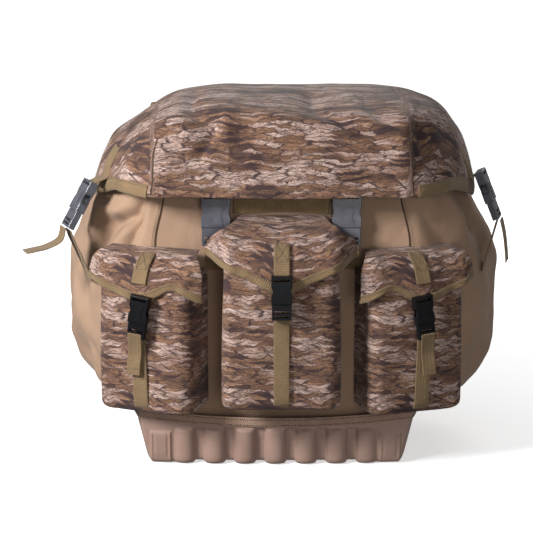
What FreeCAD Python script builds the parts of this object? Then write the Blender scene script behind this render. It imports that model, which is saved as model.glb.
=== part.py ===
import FreeCAD, Part
import math
import os

# Soft pack with a moulded base, a buckled lid and three buckled front pockets.
# Units are millimetres.  Origin: middle of the flat underside of the base.
# +Z is up, -Y is the pocket side (front), +X is the right side seen from the front.

V = FreeCAD.Vector

# ---- driving dimensions -------------------------------------------------------------------
CLOTH = 4.0            # padded cloth wall
WEB = 1.8              # webbing thickness

# level sections of the bag: height, half width, front face
BAG_SECTIONS = [
    (50, 185, -118), (60, 205, -121), (72, 236, -123), (84, 264, -124), (104, 281, -124),
    (135, 289, -124), (175, 293, -124), (215, 294, -124), (250, 291, -124), (285, 277, -123),
    (315, 257, -122), (345, 245, -121), (390, 232, -119), (428, 222, -117),
]
BAG_BACK = 130         # outer face of the back panel
BAG_WIDE = 95          # where the flanks are widest, front to back
FRONT_HALF = 165       # half width of the flat front panel
BACK_INSET = 25        # flank to flat-back rounding

BASE_BOTTOM = (176, -127, 122)     # half width, front, back at the floor
BASE_RIM = (202, -131, 126)        # the same at the rim
BASE_BOW = 7                       # how far the front and back bow out
BASE_CORNER = 14
BASE_SHIFT = -7                    # the bag sits a little to one side on its base
BASE_WALL = 5
RIM_MID, RIM_SIDE = 65, 76        # rim height in the middle and at the sides
BAND = 12                          # width of the webbing band round the rim
RIB_PITCH, RIB_COUNT, RIB_R = 40.3, 7, 15.6
RIB_TOP, RIB_PROUD, GROOVE = 49, 4.5, 6.5

LID_SECTIONS = [
    (325, 267, -167), (384, 263, -166), (416, 250, -163), (445, 230, -157),
    (465, 198, -146), (476, 156, -125), (481, 110, -95),
]
LID_BACK, LID_WIDE, LID_FRONT_HALF = 126, 80, 150
LID_HEM = [(-190, 360), (-150, 366), (-110, 368), (-10, 342), (40, 346), (108, 441), (126, 441)]

CENTRE_POCKET = dict(at=(0, -124), turn=0, half=75, depth=81, low=95, top=280)
SIDE_TURN = 20
LEFT_POCKET = dict(at=(-161, -116), turn=-SIDE_TURN, half=65, depth=50, low=80, top=266)
RIGHT_POCKET = dict(at=(161, -116), turn=SIDE_TURN, half=65, depth=50, low=80, top=266)

FLAP = 3.0
CENTRE_FLAP = [(-2.2, 335), (-38, 324), (-70, 306), (-86, 284), (-90, 262), (-90.5, 240)]
CENTRE_HEM = [(-99, 292), (-52, 272), (0, 247), (52, 270), (99, 290)]
CENTRE_TOP = [(57, 334), (57, 345), (-57, 345), (-57, 334)]
SIDE_FLAP = [(-12, 291), (-34, 287), (-50, 274), (-56, 256), (-57, 236), (-57, 222)]
SIDE_HEM = [(-74, 253), (-8, 229), (8, 229), (42, 251), (78, 231)]
SIDE_TOP = [(62, 300), (-62, 300)]
HEM_TAPE = 11

POCKET_BUCKLE = dict(width=26, socket=36, plug=20, prong=20, thick=10)
MAIN_BUCKLE = dict(width=38, socket=44, plug=24, prong=24, thick=12)
# where plug meets socket on each flank, how far it is turned out and how far it leans
SIDE_BUCKLES = {
    "left": dict(at=(-270, -75, 331), turn=-70, lean=30,
                 tab=[(19.5, 34.5), (27, 44), (28.6, 56), (34.5, 74)],
                 strap=[(-10, -24), (-6, -36), (3, -56), (12, -78), (16.5, -94)],
                 tail=[(-17, -20), (-22, -38), (-40, -47), (-70, -51)]),
    "right": dict(at=(281, -40, 338), turn=77, lean=22,
                  tab=[(14.5, 37), (26, 47), (33, 60), (39.5, 78)],
                  strap=[(-8, -25), (-5, -37), (0, -56), (6, -78), (8.8, -94)],
                  tail=[(-13.5, -23), (-18, -42), (-21, -64), (-22.5, -81)]),
}

STRAP_TOP = (95, 141, 395)
STRAP_LOW = (225, 141, 70)
STRAP_BOW = [(3, 0), (22, -22), (52, -70), (74, -140), (72, -205), (58, -250)]
STRAP_TAIL = [(58, -250), (52, -262), (30, -300), (2, -350)]

parts = {}


# ---- helpers ------------------------------------------------------------------------------
def level_wire(z, half, front, back, wide, flat_front, flat_back, bow=0.0):
    """Closed level outline: front, right flank, back, left flank."""
    flank = []
    for i in range(5):
        t = math.radians(22.5 * i)
        flank.append((flat_front + (half - flat_front) * math.sin(t),
                      wide - (wide - front) * math.cos(t)))
    for i in range(1, 5):
        t = math.radians(22.5 * i)
        flank.append((flat_back + (half - flat_back) * math.cos(t),
                      wide + (back - wide) * math.sin(t)))
    right = Part.BSplineCurve()
    right.interpolate([V(x, y, z) for x, y in flank])
    left = Part.BSplineCurve()
    left.interpolate([V(-x, y, z) for x, y in reversed(flank)])
    if bow:
        front_edge = Part.Arc(V(-flat_front, front, z), V(0, front - bow, z),
                              V(flat_front, front, z)).toShape()
    else:
        front_edge = Part.makeLine(V(-flat_front, front, z), V(flat_front, front, z))
    back_edge = Part.makeLine(V(flat_back, back, z), V(-flat_back, back, z))
    return Part.Wire([front_edge, right.toShape(), back_edge, left.toShape()])


def loft(wires, ruled=False):
    return Part.makeLoft(wires, True, ruled)


def bag_solid(grow, extra_top=0.0, lift=0.0):
    """The bag's outer shape, grown (or shrunk) by a wall thickness."""
    wires = []
    for i, (z, half, front) in enumerate(BAG_SECTIONS):
        level = z + (lift if i == 0 else 0)
        if i == len(BAG_SECTIONS) - 1:
            level += extra_top
        wires.append(level_wire(level, half + grow, front - grow, BAG_BACK + grow, BAG_WIDE,
                                FRONT_HALF, half - BACK_INSET + grow))
    return loft(wires)


def lid_solid(grow, floor=0.0):
    wires = []
    for i, (z, half, front) in enumerate(LID_SECTIONS):
        level = z + (grow if z > 440 else 0) - (floor if i == 0 else 0)
        flat = min(LID_FRONT_HALF, half - 30)
        wires.append(level_wire(level, half + grow, front - grow, LID_BACK + grow, LID_WIDE,
                                flat, half - 40 + grow))
    return loft(wires, ruled=True)


def base_solid(grow, floor=0.0):
    """The tub's outer shape, straight up past the rim."""
    wires = []
    for z, (half, front, back) in ((floor, BASE_BOTTOM), (110, BASE_RIM)):
        wires.append(level_wire(z, half + grow, front - grow, back + grow, 0,
                                half - BASE_CORNER, half - BASE_CORNER, BASE_BOW))
    solid = loft(wires)
    solid.translate(V(BASE_SHIFT, 0, 0))
    return solid


def below_rim(drop):
    """Everything below the curved rim line, lowered by drop."""
    arc = Part.Arc(V(-260, -200, 2 * RIM_SIDE - RIM_MID - drop), V(0, -200, RIM_MID - drop),
                   V(260, -200, 2 * RIM_SIDE - RIM_MID - drop)).toShape()
    sides = Part.makePolygon([arc.Vertexes[1].Point, V(260, -200, -40), V(-260, -200, -40),
                              arc.Vertexes[0].Point])
    face = Part.Face(Part.Wire([arc] + sides.Edges))
    return face.extrude(V(0, 400, 0))


def half_space(x0, x1, y0=-400, y1=400, z0=-100, z1=700):
    return Part.makeBox(x1 - x0, y1 - y0, z1 - z0, V(x0, y0, z0))


def offset_line(points, distance):
    """The polyline moved sideways; positive is to the left of its direction."""
    moved = []
    for i, (a, b) in enumerate(points):
        p, q = points[max(i - 1, 0)], points[min(i + 1, len(points) - 1)]
        du, dv = q[0] - p[0], q[1] - p[1]
        size = math.hypot(du, dv)
        moved.append((a - dv / size * distance, b + du / size * distance))
    return moved


def bent_sheet(profile, thick, x0, x1, shift=0.0):
    """A sheet that follows a (y, z) profile and runs from x0 to x1."""
    sides = []
    for d in (shift - thick / 2, shift + thick / 2):
        curve = Part.BSplineCurve()
        curve.interpolate([V(x0, y, z) for y, z in offset_line(profile, d)])
        sides.append(curve.toShape())
    a, b = sides
    ends = [Part.makeLine(a.Vertexes[1].Point, b.Vertexes[1].Point),
            Part.makeLine(b.Vertexes[0].Point, a.Vertexes[0].Point)]
    wire = Part.Wire([a, ends[0], b, ends[1]])
    return Part.Face(wire).extrude(V(x1 - x0, 0, 0))


def prism_y(points, y0=-200, y1=100):
    """An (x, z) outline pushed through along Y."""
    ring = [V(x, y0, z) for x, z in points]
    return Part.Face(Part.makePolygon(ring + ring[:1])).extrude(V(0, y1 - y0, 0))


def prism_x(points, x0=-400, x1=400):
    ring = [V(x0, y, z) for y, z in points]
    return Part.Face(Part.makePolygon(ring + ring[:1])).extrude(V(x1 - x0, 0, 0))


def rounded_box(x0, x1, y0, y1, z0, z1, r_up, r_rim):
    """Box with its upright edges and the rim of its -Y face rounded."""
    box = Part.makeBox(x1 - x0, y1 - y0, z1 - z0, V(x0, y0, z0))
    upright = [e for e in box.Edges
               if abs(e.Vertexes[0].Z - e.Vertexes[1].Z) > 1e-6]
    if r_up:
        box = box.makeFillet(r_up, upright)
    if r_rim:
        rim = [e for e in box.Edges
               if e.BoundBox.YMax < y0 + max(r_up, 0.01) + 0.01 and e.BoundBox.ZLength < 1e-6]
        box = box.makeFillet(r_rim, rim)
    return box


def placed(shape, turn=0.0, at=(0, 0, 0), tilt=0.0):
    """Tilt about Y, turn about Z, then move."""
    out = shape.copy()
    out.rotate(V(0, 0, 0), V(0, 1, 0), tilt)
    out.rotate(V(0, 0, 0), V(0, 0, 1), turn)
    out.translate(V(*at))
    return out


def keep(name, shape):
    parts[name] = shape.removeSplitter() if len(shape.Solids) == 1 else shape


# ---- moulded base -------------------------------------------------------------------------
def make_base():
    outer = base_solid(0)
    inner = base_solid(-BASE_WALL, floor=BASE_WALL).common(half_space(-400, 400, -118))
    first = -RIB_PITCH * (RIB_COUNT - 1) / 2

    def wall(x):
        return BASE_BOTTOM[1] - BASE_BOW * (1 - (x / 162.0) ** 2)

    for i in range(RIB_COUNT - 1):
        x = first + (i + 0.5) * RIB_PITCH
        outer = outer.cut(half_space(x + BASE_SHIFT - 8, x + BASE_SHIFT + 8, -200,
                                     wall(x) + GROOVE, -10, RIB_TOP))
    for i in range(RIB_COUNT):
        x = first + i * RIB_PITCH
        rib = Part.makeCylinder(RIB_R, RIB_TOP, V(x + BASE_SHIFT, wall(x) + RIB_R - RIB_PROUD, 0),
                                V(0, -0.03, 1))
        outer = outer.fuse(rib.common(half_space(-200, 200, -160, 0, 0, RIB_TOP)))
    for side in (-1, 1):
        block = Part.makeBox(28, 40, 40, V(BASE_SHIFT + side * 151 - 14, wall(151) - 2.5, 5))
        outer = outer.fuse(block.makeFillet(3, block.Edges))
    shell = outer.common(below_rim(0)).cut(inner)
    band = base_solid(2.0).cut(base_solid(0)).common(below_rim(0)).cut(below_rim(BAND))
    keep("eva_base", shell.cut(band))
    keep("base_rim_band", band)


# ---- bag ----------------------------------------------------------------------------------
def make_bag():
    outer, inner = bag_solid(0), bag_solid(-CLOTH, extra_top=30, lift=CLOTH)
    shell = outer.cut(inner).cut(half_space(-400, 400, z1=55))
    lap = base_solid(-BASE_WALL, floor=-5).common(below_rim(8))
    shell = shell.cut(lap).cut(parts["eva_base"]).cut(parts["base_rim_band"])
    front = shell.common(half_space(-FRONT_HALF, FRONT_HALF, -400, 0))
    back = shell.common(half_space(-400, 400, BAG_WIDE + 22, 400))
    rest = shell.cut(half_space(-FRONT_HALF, FRONT_HALF, -400, 0))
    rest = rest.cut(half_space(-400, 400, BAG_WIDE + 22, 400))
    keep("front_panel", front)
    keep("back_panel", back)
    keep("left_gusset", rest.common(half_space(-400, 0)))
    keep("right_gusset", rest.common(half_space(0, 400)))
    top = BAG_SECTIONS[-1]
    ring = [loft([level_wire(z, top[1] + g, top[2] - g, BAG_BACK + g, BAG_WIDE, FRONT_HALF,
                             top[1] - BACK_INSET + g) for z in (top[0], top[0] + 6)])
            for g in (0.5, -CLOTH - 0.5)]
    keep("mouth_binding", ring[0].cut(ring[1]))
    seam = bag_solid(3.0).cut(bag_solid(0)).common(half_space(-400, 400, 108, 117, 84, 420))
    keep("back_piping", seam)
    keep("framesheet", rounded_box(-140, 140, 122.5, 124.5, 106, 400, 0, 0))
    pads = []
    for side in (-1, 1):
        pad = rounded_box(side * 62 - 42, side * 62 + 42, 130, 144, 150, 358, 0, 0)
        pads.append(pad.makeFillet(6, [e for e in pad.Edges if e.BoundBox.YMin > 143]))
    lumbar = rounded_box(-120, 120, 130, 144, 72, 134, 0, 0)
    pads.append(lumbar.makeFillet(6, [e for e in lumbar.Edges if e.BoundBox.YMin > 143]))
    keep("back_pads", Part.makeCompound(pads))
    strip = bent_sheet([(-123.4, 338), (-122.9, 356), (-122.4, 374)], WEB, -62, 62, 0.9)
    keep("front_band", strip)


# ---- pockets and their flaps --------------------------------------------------------------
def pocket_shell(spec, bag):
    half, depth, low, top = spec["half"], spec["depth"], spec["low"], spec["top"]
    outer = rounded_box(-half, half, -depth, 45, low, top, 14, 0)
    inner = rounded_box(-half + 3, half - 3, -depth + 3, 60, low + 3, top + 20, 11, 0)
    bottom = [e for e in outer.Edges if e.BoundBox.ZMax < low + 0.01 and e.BoundBox.YMax < 44]
    outer = outer.makeFillet(9, bottom)
    shell = placed(outer.cut(inner), spec["turn"], spec["at"] + (0,))
    return shell.cut(bag).cut(base_solid(2.0).common(below_rim(0)))


def flap_set(side, profile, hem, top, spec):
    """Flap cloth, its hem binding and the stitched patch that carries the buckle."""
    edge = prism_y(hem + top)
    cloth = bent_sheet(profile, FLAP, -110, 110).common(edge)
    end = hem[-1][0]
    low = prism_y([(x, z + HEM_TAPE) for x, z in hem] + [(end, 150), (-end, 150)])
    bind = bent_sheet(profile, FLAP + 2, -110, 110).common(edge).common(low)
    bind = bind.cut(bent_sheet(profile, FLAP, -111, 111))
    tip = min(z for x, z in hem)
    patch = bent_sheet(profile, WEB, -10, 10, -FLAP / 2 - WEB / 2)
    patch = patch.common(half_space(-20, 20, -200, 100, tip + 28, tip + 66))
    for name, shape in (("flap", cloth), ("flap_binding", bind), ("flap_patch", patch)):
        keep(side + "_" + name, placed(shape, spec["turn"], spec["at"] + (0,)))


# ---- side-release buckles -----------------------------------------------------------------
def buckle(width, socket, plug, prong, thick):
    """Socket above the origin, plug below it, both facing -Y."""
    w = width / 2.0
    waist = w - 2.2
    outline = [(-w, 0), (-w, socket * 0.28), (-waist, socket * 0.45), (-w, socket * 0.62),
               (-w, socket), (w, socket), (w, socket * 0.62), (waist, socket * 0.45),
               (w, socket * 0.28), (w, 0)]
    body = prism_y(outline, -thick / 2, thick / 2)
    body = body.makeFillet(1.2, [e for e in body.Edges if e.BoundBox.YLength < 1e-6])
    cavity = half_space(-w + 2.4, w - 2.4, -thick / 2 + 2, thick / 2 - 2, -1, socket * 0.68)
    window = half_space(-w - 1, w + 1, -thick / 2 + 2, thick / 2 - 2, socket * 0.3, socket * 0.6)
    slot = half_space(-w + 3.5, w - 3.5, -thick, thick, socket - 6.5, socket - 3)
    grip = [(0.5, 0.08), (0.34, 0.35), (0.5, 0.62), (-0.5, 0.62), (-0.34, 0.35), (-0.5, 0.08)]
    pad = prism_y([(w * a, socket * b) for a, b in grip], -thick / 2 - 0.8, -thick / 2 + 1)
    body = body.fuse(pad).cut(cavity).cut(window).cut(slot)
    t = thick / 2 - 2.6
    male = rounded_box(-w + 0.8, w - 0.8, -t - 1, t + 1, -plug, -0.4, 1.2, 0)
    for low in (-plug + 3, -plug + 8.5):
        male = male.cut(half_space(-w + 4, w - 4, -thick, thick, low, low + 3))
    male = male.fuse(half_space(-1.6, 1.6, -t, t, -0.5, prong * 0.7))
    for side in (-1, 1):
        leg = prism_y([(side * (w - 6.0), -0.5), (side * (w - 3.6), -0.5),
                       (side * (w - 2.9), prong * 0.8), (side * (w - 5.5), prong),
                       (side * (w - 6.4), prong * 0.8)], -t, t)
        male = male.fuse(leg)
    return body, male


def on_pocket(spec, x, depth, z):
    """A point given in a pocket's own frame, in the pack's frame."""
    a = math.radians(spec["turn"])
    return (spec["at"][0] + x * math.cos(a) + depth * math.sin(a),
            spec["at"][1] + x * math.sin(a) - depth * math.cos(a), z)


def make_pockets(bag):
    straps = []
    mirrored = [(-x, z) for x, z in reversed(SIDE_HEM)]
    table = (("centre", CENTRE_POCKET, CENTRE_FLAP, CENTRE_HEM, CENTRE_TOP, 239, 0),
             ("left", LEFT_POCKET, SIDE_FLAP, SIDE_HEM, SIDE_TOP, 204, 8),
             ("right", RIGHT_POCKET, SIDE_FLAP, mirrored, SIDE_TOP, 204, -8))
    for side, spec, profile, hem, top, joint, tilt in table:
        keep(side + "_pocket", pocket_shell(spec, bag))
        flap_set(side, profile, hem, top, spec)
        front = -profile[-1][0] + FLAP / 2 + 1.3 + POCKET_BUCKLE["thick"] / 2
        socket, plug = buckle(**POCKET_BUCKLE)
        at = on_pocket(spec, 0, front, joint)
        keep(side + "_flap_socket", placed(socket, spec["turn"], at, tilt))
        keep(side + "_strap_plug", placed(plug, spec["turn"], at, tilt))
        d = spec["depth"]
        low, end = spec["low"] + 12, joint - POCKET_BUCKLE["plug"] + 4
        line = [(-d - 1.4, low), (-d - 1.4, low + 30), (-d - 2.4, end - 30),
                (-front + 5.6, end)]
        strap = bent_sheet(line, WEB, -10, 10)
        tail = bent_sheet([(-front - 5.6, end), (-d - 8, end - 24), (-d - 6, end - 66)], WEB,
                          -9.5, 9.5)
        lean = math.tan(math.radians(tilt)) * -20
        for piece in (strap, tail):
            piece = placed(piece, spec["turn"], on_pocket(spec, lean, 0, 0))
            piece = piece.cut(parts[side + "_pocket"]).cut(parts[side + "_strap_plug"])
            straps.append(piece)
    keep("pocket_straps", Part.makeCompound(straps))


# ---- lid ----------------------------------------------------------------------------------
def make_lid():
    hem = prism_x(LID_HEM + [(200, 441), (200, 700), (-190, 700)])
    rise = [(y, z + 12) for y, z in LID_HEM]
    above = prism_x(rise + [(200, 453), (200, 700), (-190, 700)])
    outer, inner = lid_solid(0), lid_solid(-5, floor=10)
    shell = outer.cut(inner).common(hem)
    keep("lid_shell", shell)
    tape = lid_solid(1.2).cut(lid_solid(-6.2, floor=12)).cut(outer.cut(inner))
    keep("lid_binding", tape.common(hem).cut(above).common(half_space(-400, 400, -400, 98)))


def make_lid_buckles():
    tabs, straps = [], []
    for side in (-1, 1):
        name = "left" if side < 0 else "right"
        at = (side * 84, -133, 320)
        socket, plug = buckle(**MAIN_BUCKLE)
        keep(name + "_lid_socket", placed(socket, 0, at))
        keep(name + "_lid_plug", placed(plug, 0, at))
        tab = bent_sheet([(-133, 358.8), (-137, 371), (-147, 385), (-153, 398), (-154.5, 414)],
                         WEB, side * 84 - 15, side * 84 + 15)
        tabs.append(tab.cut(parts[name + "_lid_socket"]))
        strap = bent_sheet([(-125.4, 284), (-125.8, 291), (-127.4, 300)], WEB,
                           side * 84 - 15, side * 84 + 15)
        straps.append(strap)
    keep("main_straps", Part.makeCompound(straps))
    side_straps = []
    for name, spec in SIDE_BUCKLES.items():
        at, turn = spec["at"], spec["turn"]
        socket, plug = buckle(**MAIN_BUCKLE)
        for piece in (socket, plug):
            piece.rotate(V(0, 0, 0), V(1, 0, 0), -spec["lean"])
        keep(name + "_side_socket", placed(socket, turn, at))
        keep(name + "_side_plug", placed(plug, turn, at))
        tab = placed(bent_sheet(spec["tab"], WEB, -15, 15), turn, at)
        tabs.append(tab.cut(parts[name + "_side_socket"]))
        for line, half in ((spec["strap"], 15), (spec["tail"], 14)):
            strap = placed(bent_sheet(line, WEB, -half, half), turn, at)
            side_straps.append(strap.cut(parts[name + "_side_plug"]))
    keep("side_straps", Part.makeCompound(side_straps))
    keep("lid_tabs", Part.makeCompound(tabs))


# ---- back: shoulder straps and haul handle ------------------------------------------------
def make_harness():
    run = (STRAP_LOW[0] - STRAP_TOP[0], STRAP_TOP[2] - STRAP_LOW[2])
    lean = math.degrees(math.atan2(run[0], run[1]))
    for side, name in ((-1, "left"), (1, "right")):
        pad = bent_sheet(STRAP_BOW[1:], 12, -31, 31)
        web = bent_sheet(STRAP_BOW, WEB, -12.5, 12.5, 7.4)
        web = web.fuse(bent_sheet(STRAP_TAIL, WEB, -12.5, 12.5, 7.4))
        lock = rounded_box(-17, 17, 51, 66, -282, -258, 2, 0).cut(web)
        for tag, shape in (("strap_pad", pad), ("strap_webbing", web), ("strap_lock", lock)):
            at = (side * STRAP_TOP[0], STRAP_TOP[1], STRAP_TOP[2])
            keep("%s_%s" % (name, tag), placed(shape, 0, at, -side * lean))
    path = Part.Wire([Part.Arc(V(-40, 139, 405), V(0, 139, 372), V(40, 139, 405)).toShape()])
    ring = Part.Wire([Part.makeCircle(6.5, V(-40, 139, 405), path.Edges[0].tangentAt(
        path.Edges[0].FirstParameter))])
    keep("haul_handle", path.makePipeShell([ring], True, False))


make_base()
make_bag()
make_pockets(bag_solid(0))
make_lid()
make_lid_buckles()
make_harness()

os.makedirs("parts", exist_ok=True)
for name, shape in parts.items():
    shape.exportStep("parts/%s.step" % name)
    print(name, len(shape.Solids), round(shape.Volume), shape.isValid())
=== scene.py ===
import bmesh
import bpy
import math
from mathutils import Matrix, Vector, noise


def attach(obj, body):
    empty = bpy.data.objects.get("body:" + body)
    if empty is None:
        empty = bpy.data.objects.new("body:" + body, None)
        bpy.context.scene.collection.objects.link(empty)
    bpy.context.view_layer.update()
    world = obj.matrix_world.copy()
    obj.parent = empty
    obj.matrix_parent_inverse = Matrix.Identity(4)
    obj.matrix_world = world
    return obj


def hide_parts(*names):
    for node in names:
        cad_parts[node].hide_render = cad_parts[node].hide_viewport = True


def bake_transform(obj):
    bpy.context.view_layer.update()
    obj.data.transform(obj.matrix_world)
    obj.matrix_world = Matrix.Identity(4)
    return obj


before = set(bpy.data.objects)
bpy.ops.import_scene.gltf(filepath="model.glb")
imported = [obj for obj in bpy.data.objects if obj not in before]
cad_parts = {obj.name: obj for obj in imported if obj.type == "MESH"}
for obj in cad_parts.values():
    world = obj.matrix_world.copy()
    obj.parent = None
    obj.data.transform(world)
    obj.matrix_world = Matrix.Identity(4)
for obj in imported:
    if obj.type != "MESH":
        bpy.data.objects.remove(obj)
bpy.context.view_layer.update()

# Shapes are worked out in millimetres in the frame's own axes and scaled when a mesh is made.
MM = 0.001

# bag: height, half width, front face
BAG = [(54, 172, -113), (60, 181, -116), (68, 208, -121), (76, 248, -123), (88, 270, -124),
       (106, 284, -124), (135, 290, -124), (175, 293, -124), (215, 294, -124), (250, 291, -124),
       (285, 282, -123), (315, 267, -122), (345, 252, -121), (390, 224, -119), (430, 196, -117)]
BAG_BACK, BAG_WIDE, FRONT_HALF, BACK_INSET = 130, 95, 165, 25

# lid: height, half width to the left and right, front face, back face
LID = [(325, 262, 271, -167, 126), (384, 247, 262, -166, 126), (416, 230, 250, -163, 126),
       (445, 190, 230, -158, 126), (461, 166, 212, -149, 123), (470, 150, 194, -126, 116),
       (477, 132, 172, -80, 106), (481, 104, 132, -30, 92), (483, 54, 66, 6, 66),
       (483.4, 0.6, 0.6, 34.4, 35.6)]
LID_HEM = [(-190, 360), (-150, 365), (-110, 367), (-10, 342), (40, 346), (108, 441), (126, 441)]
LID_WIDE, LID_FRONT_HALF = 80, 150
# share of the way from hem to crown that is the lid's upright skirt
LID_SKIRT = 0.42

# tub: half width, front, back at the floor and at 110 mm
TUB_FLOOR, TUB_RIM = (176, -127, 122), (202, -131, 126)
TUB_CORNER, TUB_BOW, TUB_SHIFT = 14, 7, -7
RIM_LEVEL, BAND_DROP = 66, 11.8
RIB_PITCH, RIB_TOP, RIB_PROUD, GROOVE = 40.3, 49, 4.5, 6.5

# side buckles: where plug meets socket, turned out and leaning, with the tail's own line
SIDES = {"left": dict(at=(-270, -75), turn=-70, z=331, s=2.39, bar=(20.5, 37),
                      strap=[(-10, -24), (-6, -36), (3, -56), (12, -78), (16.5, -94)],
                      tail=[(-17, -20), (-22, -37), (-40, -46), (-56, -49), (-70, -51)]),
         "right": dict(at=(281, -40), turn=77, z=338, s=5.70, bar=(15.5, 39.5),
                       strap=[(-8, -25), (-5, -37), (0, -56), (6, -78), (8.8, -94)],
                       tail=[(-13.5, -23), (-18, -42), (-21, -64), (-22.5, -81)])}

# pockets: place, turn and size; profile is the flap's fall (y, z), hem its lower edge (x, z)
CENTRE = dict(name="centre", at=(0, -124), turn=0, half=75, depth=81, low=95, top=281,
              profile=[(-2.2, 335), (-38, 324), (-70, 306), (-86, 284), (-90, 262),
                       (-90.5, 236)],
              hem=[(-99, 292), (-52, 273), (0, 247), (52, 270), (99, 290)],
              top_half=57, corner_z=292, ends=44, joint=239, tilt=0, pinch=13)
LEFT = dict(name="left", at=(-161, -116), turn=-20, half=65, depth=50, low=80, top=267,
            profile=[(-6, 293), (-34, 288), (-50, 274), (-56, 256), (-57, 236), (-57, 215)],
            hem=[(-76, 254), (-40, 240), (-6, 229), (10, 231), (44, 250), (80, 229)],
            top_half=62, corner_z=262, ends=20, joint=204, tilt=8, pinch=0)
RIGHT = dict(LEFT, name="right", at=(161, -116), turn=20, tilt=-8,
             hem=[(-x, z) for x, z in reversed(LEFT["hem"])])
POCKETS = (CENTRE, LEFT, RIGHT)

# shoulder straps: how far out and down the bow runs, then the tail, and the lean outwards
STRAP_BOW = [(3, 0), (22, -22), (52, -70), (74, -140), (72, -205), (58, -250)]
STRAP_TAIL = [(52, -262), (30, -300), (2, -350)]
STRAP_LEAN = math.atan2(130, 325)


# thread: half width and half height of a stitch, share of the pitch left bare, height above cloth
THREAD_SIZE, HEM_THREAD, FINE_THREAD = (0.62, 0.34), (0.45, 0.25), (0.42, 0.24)
STITCH_GAP, STITCH_LIFT = 0.3, 0.25


# ---- small maths ----------------------------------------------------------------------------
def mix(a, b, t):
    return a + (b - a) * t


def ease(t):
    t = max(0.0, min(1.0, t))
    return t * t * (3 - 2 * t)


def catmull(a, b, c, d, t):
    return 0.5 * (2 * b + (c - a) * t + (2 * a - 5 * b + 4 * c - d) * t * t
                  + (3 * b - a - 3 * c + d) * t ** 3)


def at_height(keys, z):
    """Values of a table of sections at height z, smoothly between its rows."""
    last = len(keys) - 1
    i = 0
    while i < last - 1 and keys[i + 1][0] <= z:
        i += 1
    t = (z - keys[i][0]) / (keys[i + 1][0] - keys[i][0])
    rows = [keys[max(i - 1, 0)], keys[i], keys[i + 1], keys[min(i + 2, last)]]
    return [catmull(*[row[k] for row in rows], t) for k in range(1, len(keys[0]))]


def between(points, x):
    """Height of a polyline at x."""
    for (x0, z0), (x1, z1) in zip(points, points[1:]):
        if x <= x1:
            return mix(z0, z1, max(0.0, (x - x0) / (x1 - x0)))
    return points[-1][1]


def soft_line(points, x, reach):
    """The same, with its corners rounded over a reach."""
    samples = [between(points, x + reach * k / 3.0) for k in (-3, -2, -1, 0, 1, 2, 3)]
    return sum(samples) / len(samples)


def curve_through(points, count):
    """Evenly spaced points on a smooth curve through the given ones."""
    pts = [Vector(p) for p in points]
    dense = []
    for i in range(len(pts) - 1):
        four = [pts[max(i - 1, 0)], pts[i], pts[i + 1], pts[min(i + 2, len(pts) - 1)]]
        dense += [catmull(*four, k / 24.0) for k in range(24)]
    dense.append(pts[-1])
    return resample(dense, count)


def resample(pts, count):
    reach = [0.0]
    for a, b in zip(pts, pts[1:]):
        reach.append(reach[-1] + (b - a).length)
    out, i = [], 0
    for k in range(count):
        want = reach[-1] * k / (count - 1)
        while i < len(pts) - 2 and reach[i + 1] < want:
            i += 1
        out.append(pts[i].lerp(pts[i + 1], (want - reach[i]) / max(reach[i + 1] - reach[i], 1e-9)))
    return out


def ripple(p, size, seed):
    return noise.noise(Vector((p[0] / size + seed, p[1] / size - seed, p[2] / size + 2 * seed)))


def crease(x, z, lines):
    """Depth of the folds drawn as (x0, z0, x1, z1, depth, width) lines in the front view."""
    total = 0.0
    for x0, z0, x1, z1, depth, width in lines:
        dx, dz = x1 - x0, z1 - z0
        t = ((x - x0) * dx + (z - z0) * dz) / (dx * dx + dz * dz)
        c = max(0.0, min(1.0, t))
        gap = math.hypot(x - x0 - dx * c, z - z0 - dz * c)
        fade = 0.35 + 0.65 * math.sin(math.pi * (0.15 + 0.7 * c))
        total += depth * fade * math.exp(-1.2 * (gap / width) ** 1.4)
    return total


def plan(s, half, front, back, wide, flat_front, flat_back, bow=0.0):
    """Point on a level outline, s from 0 at the back round the left, front and right to 8."""
    q = 8 - s if s > 4 else s
    if q <= 1:
        x, y = -flat_back * q, back
    elif q <= 2:
        t = (q - 1) * math.pi / 2
        x = -(flat_back + (half - flat_back) * math.sin(t))
        y = wide + (back - wide) * math.cos(t)
    elif q <= 3:
        t = (q - 2) * math.pi / 2
        x = -(flat_front + (half - flat_front) * math.cos(t))
        y = wide - (wide - front) * math.sin(t)
    else:
        x = -flat_front * (4 - q)
        y = front - bow * (1 - (4 - q) ** 2)
    return (-x if s > 4 else x), y


def columns(back, corner, flank, front):
    """Values of s spread with the given counts over each stretch of the outline."""
    left = []
    for start, count in ((0, back), (1, corner), (2, flank), (3, front)):
        left += [start + k / count for k in range(count)]
    return left + [4.0] + [8 - s for s in reversed(left)][:-1]


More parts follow.
